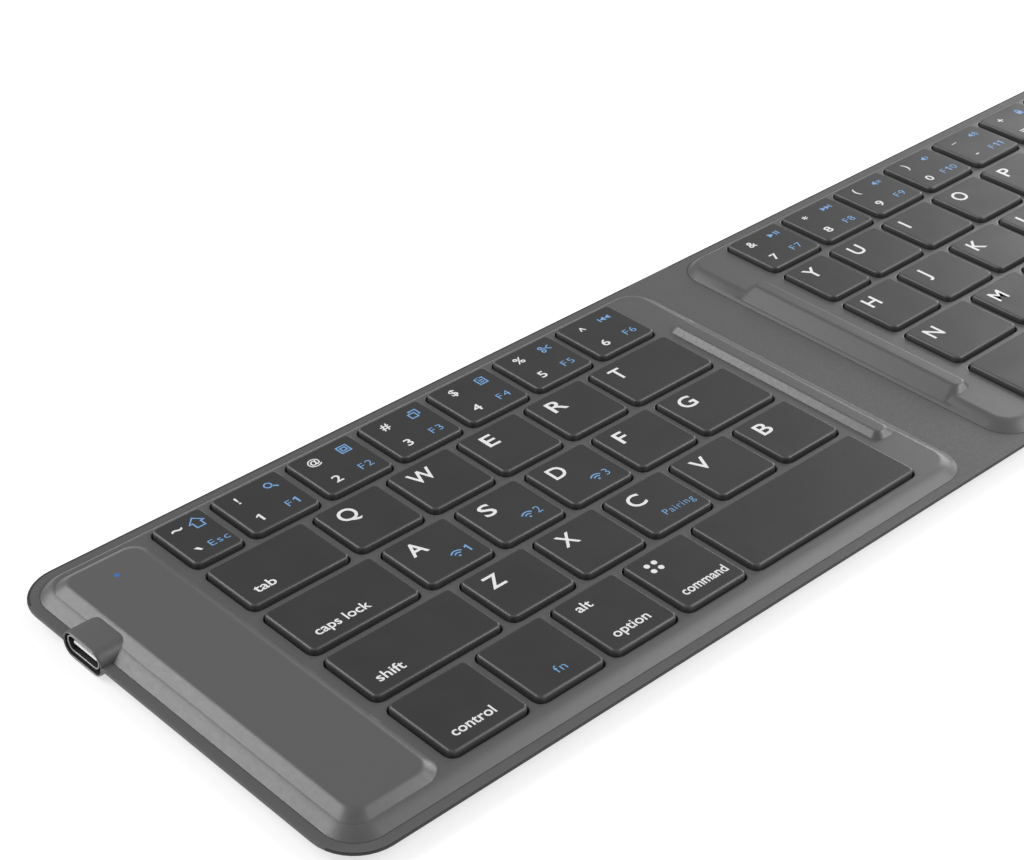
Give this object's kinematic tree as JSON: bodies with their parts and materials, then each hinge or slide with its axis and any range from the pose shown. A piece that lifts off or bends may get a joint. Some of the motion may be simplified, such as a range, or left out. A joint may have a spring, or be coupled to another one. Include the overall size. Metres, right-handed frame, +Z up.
{
  "type": "folding keyboard",
  "caption": "Thin folding keyboard: bevelled key trays in leather-like covers close face to face about a flexible spine; raised battery platform, status light and charging port.",
  "frame": {"origin": "centre of the open keyboard's footprint, on the table", "axes": "+X along the key rows from the charging port to the arrow keys, +Y away from the typist, +Z up out of the keys"},
  "size_m": [0.3044, 0.0892, 0.0058],
  "materials": {
    "cover_skin": "fine-grained grey synthetic leather",
    "tray": "satin grey, fine texture",
    "keycap": "satin dark grey",
    "steel": "plain sheet",
    "membrane": "black film",
    "dome_rubber": "milky silicone",
    "white_plastic": "moulded",
    "battery_foil": "foil pouch",
    "board": "green solder mask",
    "socket_metal": "plated shell",
    "led": "blue light pipe",
    "cable_film": "amber film"
  },
  "bodies": {
    "left_half": {"left_cover": "cover_skin", "left_tray": "tray", "left_plate": "steel", "left_membrane": "membrane", "rubber_domes_left": "dome_rubber", "scissor_links_left": "white_plastic", "battery": "battery_foil", "main_board": "board", "usb_socket": "socket_metal", "port_housing": "tray", "status_led": "led"},
    "spine": {"spine_panel": "cover_skin", "flex_cable": "cable_film"},
    "right_half": {"right_cover": "cover_skin", "right_tray": "tray", "right_plate": "steel", "right_membrane": "membrane", "rubber_domes_right": "dome_rubber", "scissor_links_right": "white_plastic"},
    "number_keys_left": {"number_keys_left": "keycap"},
    "key_tab": {"key_tab": "keycap"},
    "key_q": {"key_q": "keycap"},
    "key_w": {"key_w": "keycap"},
    "key_e": {"key_e": "keycap"},
    "key_r": {"key_r": "keycap"},
    "key_t": {"key_t": "keycap"},
    "key_caps_lock": {"key_caps_lock": "keycap"},
    "key_a": {"key_a": "keycap"},
    "key_s": {"key_s": "keycap"},
    "key_d": {"key_d": "keycap"},
    "key_f": {"key_f": "keycap"},
    "key_g": {"key_g": "keycap"},
    "key_left_shift": {"key_left_shift": "keycap"},
    "key_z": {"key_z": "keycap"},
    "key_x": {"key_x": "keycap"},
    "key_c": {"key_c": "keycap"},
    "key_v": {"key_v": "keycap"},
    "key_b": {"key_b": "keycap"},
    "key_control": {"key_control": "keycap"},
    "key_fn": {"key_fn": "keycap"},
    "key_option": {"key_option": "keycap"},
    "key_command": {"key_command": "keycap"},
    "key_left_space": {"key_left_space": "keycap"},
    "number_keys_right": {"number_keys_right": "keycap"},
    "punctuation_keys": {"punctuation_keys": "keycap"},
    "arrow_and_modifier_keys": {"arrow_and_modifier_keys": "keycap"},
    "key_backspace": {"key_backspace": "keycap"},
    "key_y": {"key_y": "keycap"},
    "key_u": {"key_u": "keycap"},
    "key_i": {"key_i": "keycap"},
    "key_o": {"key_o": "keycap"},
    "key_p": {"key_p": "keycap"},
    "key_h": {"key_h": "keycap"},
    "key_j": {"key_j": "keycap"},
    "key_k": {"key_k": "keycap"},
    "key_l": {"key_l": "keycap"},
    "key_enter": {"key_enter": "keycap"},
    "key_n": {"key_n": "keycap"},
    "key_m": {"key_m": "keycap"},
    "key_right_space": {"key_right_space": "keycap"}
  },
  "joints": [
    {"name": "fold_left", "type": "hinge", "parent": "spine", "child": "left_half", "pos_m": [-0.0028, 0, 0.0032], "axis": [0, 1, 0], "range_deg": [0, 90]},
    {"name": "fold_right", "type": "hinge", "parent": "spine", "child": "right_half", "pos_m": [0.0028, 0, 0.0032], "axis": [0, -1, 0], "range_deg": [0, 90]},
    {"name": "press_number_keys_left", "type": "slide", "parent": "left_half", "child": "number_keys_left", "axis": [0, 0, -1], "range_m": [0, 0.0012], "stiffness_N_per_m": 2100, "deforming": ["rubber_domes_left", "scissor_links_left"]},
    {"name": "press_key_tab", "type": "slide", "parent": "left_half", "child": "key_tab", "axis": [0, 0, -1], "range_m": [0, 0.0012], "stiffness_N_per_m": 300, "deforming": ["rubber_domes_left", "scissor_links_left"]},
    {"name": "press_key_q", "type": "slide", "parent": "left_half", "child": "key_q", "axis": [0, 0, -1], "range_m": [0, 0.0012], "stiffness_N_per_m": 300, "deforming": ["rubber_domes_left", "scissor_links_left"]},
    {"name": "press_key_w", "type": "slide", "parent": "left_half", "child": "key_w", "axis": [0, 0, -1], "range_m": [0, 0.0012], "stiffness_N_per_m": 300, "deforming": ["rubber_domes_left", "scissor_links_left"]},
    {"name": "press_key_e", "type": "slide", "parent": "left_half", "child": "key_e", "axis": [0, 0, -1], "range_m": [0, 0.0012], "stiffness_N_per_m": 300, "deforming": ["rubber_domes_left", "scissor_links_left"]},
    {"name": "press_key_r", "type": "slide", "parent": "left_half", "child": "key_r", "axis": [0, 0, -1], "range_m": [0, 0.0012], "stiffness_N_per_m": 300, "deforming": ["rubber_domes_left", "scissor_links_left"]},
    {"name": "press_key_t", "type": "slide", "parent": "left_half", "child": "key_t", "axis": [0, 0, -1], "range_m": [0, 0.0012], "stiffness_N_per_m": 300, "deforming": ["rubber_domes_left", "scissor_links_left"]},
    {"name": "press_key_caps_lock", "type": "slide", "parent": "left_half", "child": "key_caps_lock", "axis": [0, 0, -1], "range_m": [0, 0.0012], "stiffness_N_per_m": 300, "deforming": ["rubber_domes_left", "scissor_links_left"]},
    {"name": "press_key_a", "type": "slide", "parent": "left_half", "child": "key_a", "axis": [0, 0, -1], "range_m": [0, 0.0012], "stiffness_N_per_m": 300, "deforming": ["rubber_domes_left", "scissor_links_left"]},
    {"name": "press_key_s", "type": "slide", "parent": "left_half", "child": "key_s", "axis": [0, 0, -1], "range_m": [0, 0.0012], "stiffness_N_per_m": 300, "deforming": ["rubber_domes_left", "scissor_links_left"]},
    {"name": "press_key_d", "type": "slide", "parent": "left_half", "child": "key_d", "axis": [0, 0, -1], "range_m": [0, 0.0012], "stiffness_N_per_m": 300, "deforming": ["rubber_domes_left", "scissor_links_left"]},
    {"name": "press_key_f", "type": "slide", "parent": "left_half", "child": "key_f", "axis": [0, 0, -1], "range_m": [0, 0.0012], "stiffness_N_per_m": 300, "deforming": ["rubber_domes_left", "scissor_links_left"]},
    {"name": "press_key_g", "type": "slide", "parent": "left_half", "child": "key_g", "axis": [0, 0, -1], "range_m": [0, 0.0012], "stiffness_N_per_m": 300, "deforming": ["rubber_domes_left", "scissor_links_left"]},
    {"name": "press_key_left_shift", "type": "slide", "parent": "left_half", "child": "key_left_shift", "axis": [0, 0, -1], "range_m": [0, 0.0012], "stiffness_N_per_m": 300, "deforming": ["rubber_domes_left", "scissor_links_left"]},
    {"name": "press_key_z", "type": "slide", "parent": "left_half", "child": "key_z", "axis": [0, 0, -1], "range_m": [0, 0.0012], "stiffness_N_per_m": 300, "deforming": ["rubber_domes_left", "scissor_links_left"]},
    {"name": "press_key_x", "type": "slide", "parent": "left_half", "child": "key_x", "axis": [0, 0, -1], "range_m": [0, 0.0012], "stiffness_N_per_m": 300, "deforming": ["rubber_domes_left", "scissor_links_left"]},
    {"name": "press_key_c", "type": "slide", "parent": "left_half", "child": "key_c", "axis": [0, 0, -1], "range_m": [0, 0.0012], "stiffness_N_per_m": 300, "deforming": ["rubber_domes_left", "scissor_links_left"]},
    {"name": "press_key_v", "type": "slide", "parent": "left_half", "child": "key_v", "axis": [0, 0, -1], "range_m": [0, 0.0012], "stiffness_N_per_m": 300, "deforming": ["rubber_domes_left", "scissor_links_left"]},
    {"name": "press_key_b", "type": "slide", "parent": "left_half", "child": "key_b", "axis": [0, 0, -1], "range_m": [0, 0.0012], "stiffness_N_per_m": 300, "deforming": ["rubber_domes_left", "scissor_links_left"]},
    {"name": "press_key_control", "type": "slide", "parent": "left_half", "child": "key_control", "axis": [0, 0, -1], "range_m": [0, 0.0012], "stiffness_N_per_m": 300, "deforming": ["rubber_domes_left", "scissor_links_left"]},
    {"name": "press_key_fn", "type": "slide", "parent": "left_half", "child": "key_fn", "axis": [0, 0, -1], "range_m": [0, 0.0012], "stiffness_N_per_m": 300, "deforming": ["rubber_domes_left", "scissor_links_left"]},
    {"name": "press_key_option", "type": "slide", "parent": "left_half", "child": "key_option", "axis": [0, 0, -1], "range_m": [0, 0.0012], "stiffness_N_per_m": 300, "deforming": ["rubber_domes_left", "scissor_links_left"]},
    {"name": "press_key_command", "type": "slide", "parent": "left_half", "child": "key_command", "axis": [0, 0, -1], "range_m": [0, 0.0012], "stiffness_N_per_m": 300, "deforming": ["rubber_domes_left", "scissor_links_left"]},
    {"name": "press_key_left_space", "type": "slide", "parent": "left_half", "child": "key_left_space", "axis": [0, 0, -1], "range_m": [0, 0.0012], "stiffness_N_per_m": 300, "deforming": ["rubber_domes_left", "scissor_links_left"]},
    {"name": "press_number_keys_right", "type": "slide", "parent": "right_half", "child": "number_keys_right", "axis": [0, 0, -1], "range_m": [0, 0.0012], "stiffness_N_per_m": 1800, "deforming": ["rubber_domes_right", "scissor_links_right"]},
    {"name": "press_punctuation_keys", "type": "slide", "parent": "right_half", "child": "punctuation_keys", "axis": [0, 0, -1], "range_m": [0, 0.0012], "stiffness_N_per_m": 2400, "deforming": ["rubber_domes_right", "scissor_links_right"]},
    {"name": "press_arrow_and_modifier_keys", "type": "slide", "parent": "right_half", "child": "arrow_and_modifier_keys", "axis": [0, 0, -1], "range_m": [0, 0.0012], "stiffness_N_per_m": 2100, "deforming": ["rubber_domes_right", "scissor_links_right"]},
    {"name": "press_key_backspace", "type": "slide", "parent": "right_half", "child": "key_backspace", "axis": [0, 0, -1], "range_m": [0, 0.0012], "stiffness_N_per_m": 300, "deforming": ["rubber_domes_right", "scissor_links_right"]},
    {"name": "press_key_y", "type": "slide", "parent": "right_half", "child": "key_y", "axis": [0, 0, -1], "range_m": [0, 0.0012], "stiffness_N_per_m": 300, "deforming": ["rubber_domes_right", "scissor_links_right"]},
    {"name": "press_key_u", "type": "slide", "parent": "right_half", "child": "key_u", "axis": [0, 0, -1], "range_m": [0, 0.0012], "stiffness_N_per_m": 300, "deforming": ["rubber_domes_right", "scissor_links_right"]},
    {"name": "press_key_i", "type": "slide", "parent": "right_half", "child": "key_i", "axis": [0, 0, -1], "range_m": [0, 0.0012], "stiffness_N_per_m": 300, "deforming": ["rubber_domes_right", "scissor_links_right"]},
    {"name": "press_key_o", "type": "slide", "parent": "right_half", "child": "key_o", "axis": [0, 0, -1], "range_m": [0, 0.0012], "stiffness_N_per_m": 300, "deforming": ["rubber_domes_right", "scissor_links_right"]},
    {"name": "press_key_p", "type": "slide", "parent": "right_half", "child": "key_p", "axis": [0, 0, -1], "range_m": [0, 0.0012], "stiffness_N_per_m": 300, "deforming": ["rubber_domes_right", "scissor_links_right"]},
    {"name": "press_key_h", "type": "slide", "parent": "right_half", "child": "key_h", "axis": [0, 0, -1], "range_m": [0, 0.0012], "stiffness_N_per_m": 300, "deforming": ["rubber_domes_right", "scissor_links_right"]},
    {"name": "press_key_j", "type": "slide", "parent": "right_half", "child": "key_j", "axis": [0, 0, -1], "range_m": [0, 0.0012], "stiffness_N_per_m": 300, "deforming": ["rubber_domes_right", "scissor_links_right"]},
    {"name": "press_key_k", "type": "slide", "parent": "right_half", "child": "key_k", "axis": [0, 0, -1], "range_m": [0, 0.0012], "stiffness_N_per_m": 300, "deforming": ["rubber_domes_right", "scissor_links_right"]},
    {"name": "press_key_l", "type": "slide", "parent": "right_half", "child": "key_l", "axis": [0, 0, -1], "range_m": [0, 0.0012], "stiffness_N_per_m": 300, "deforming": ["rubber_domes_right", "scissor_links_right"]},
    {"name": "press_key_enter", "type": "slide", "parent": "right_half", "child": "key_enter", "axis": [0, 0, -1], "range_m": [0, 0.0012], "stiffness_N_per_m": 300, "deforming": ["rubber_domes_right", "scissor_links_right"]},
    {"name": "press_key_n", "type": "slide", "parent": "right_half", "child": "key_n", "axis": [0, 0, -1], "range_m": [0, 0.0012], "stiffness_N_per_m": 300, "deforming": ["rubber_domes_right", "scissor_links_right"]},
    {"name": "press_key_m", "type": "slide", "parent": "right_half", "child": "key_m", "axis": [0, 0, -1], "range_m": [0, 0.0012], "stiffness_N_per_m": 300, "deforming": ["rubber_domes_right", "scissor_links_right"]},
    {"name": "press_key_right_space", "type": "slide", "parent": "right_half", "child": "key_right_space", "axis": [0, 0, -1], "range_m": [0, 0.0012], "stiffness_N_per_m": 300, "deforming": ["rubber_domes_right", "scissor_links_right"]}
  ],
  "couplings": [
    {"joint": "fold_right", "follows": "fold_left", "ratio": 1}
  ]
}
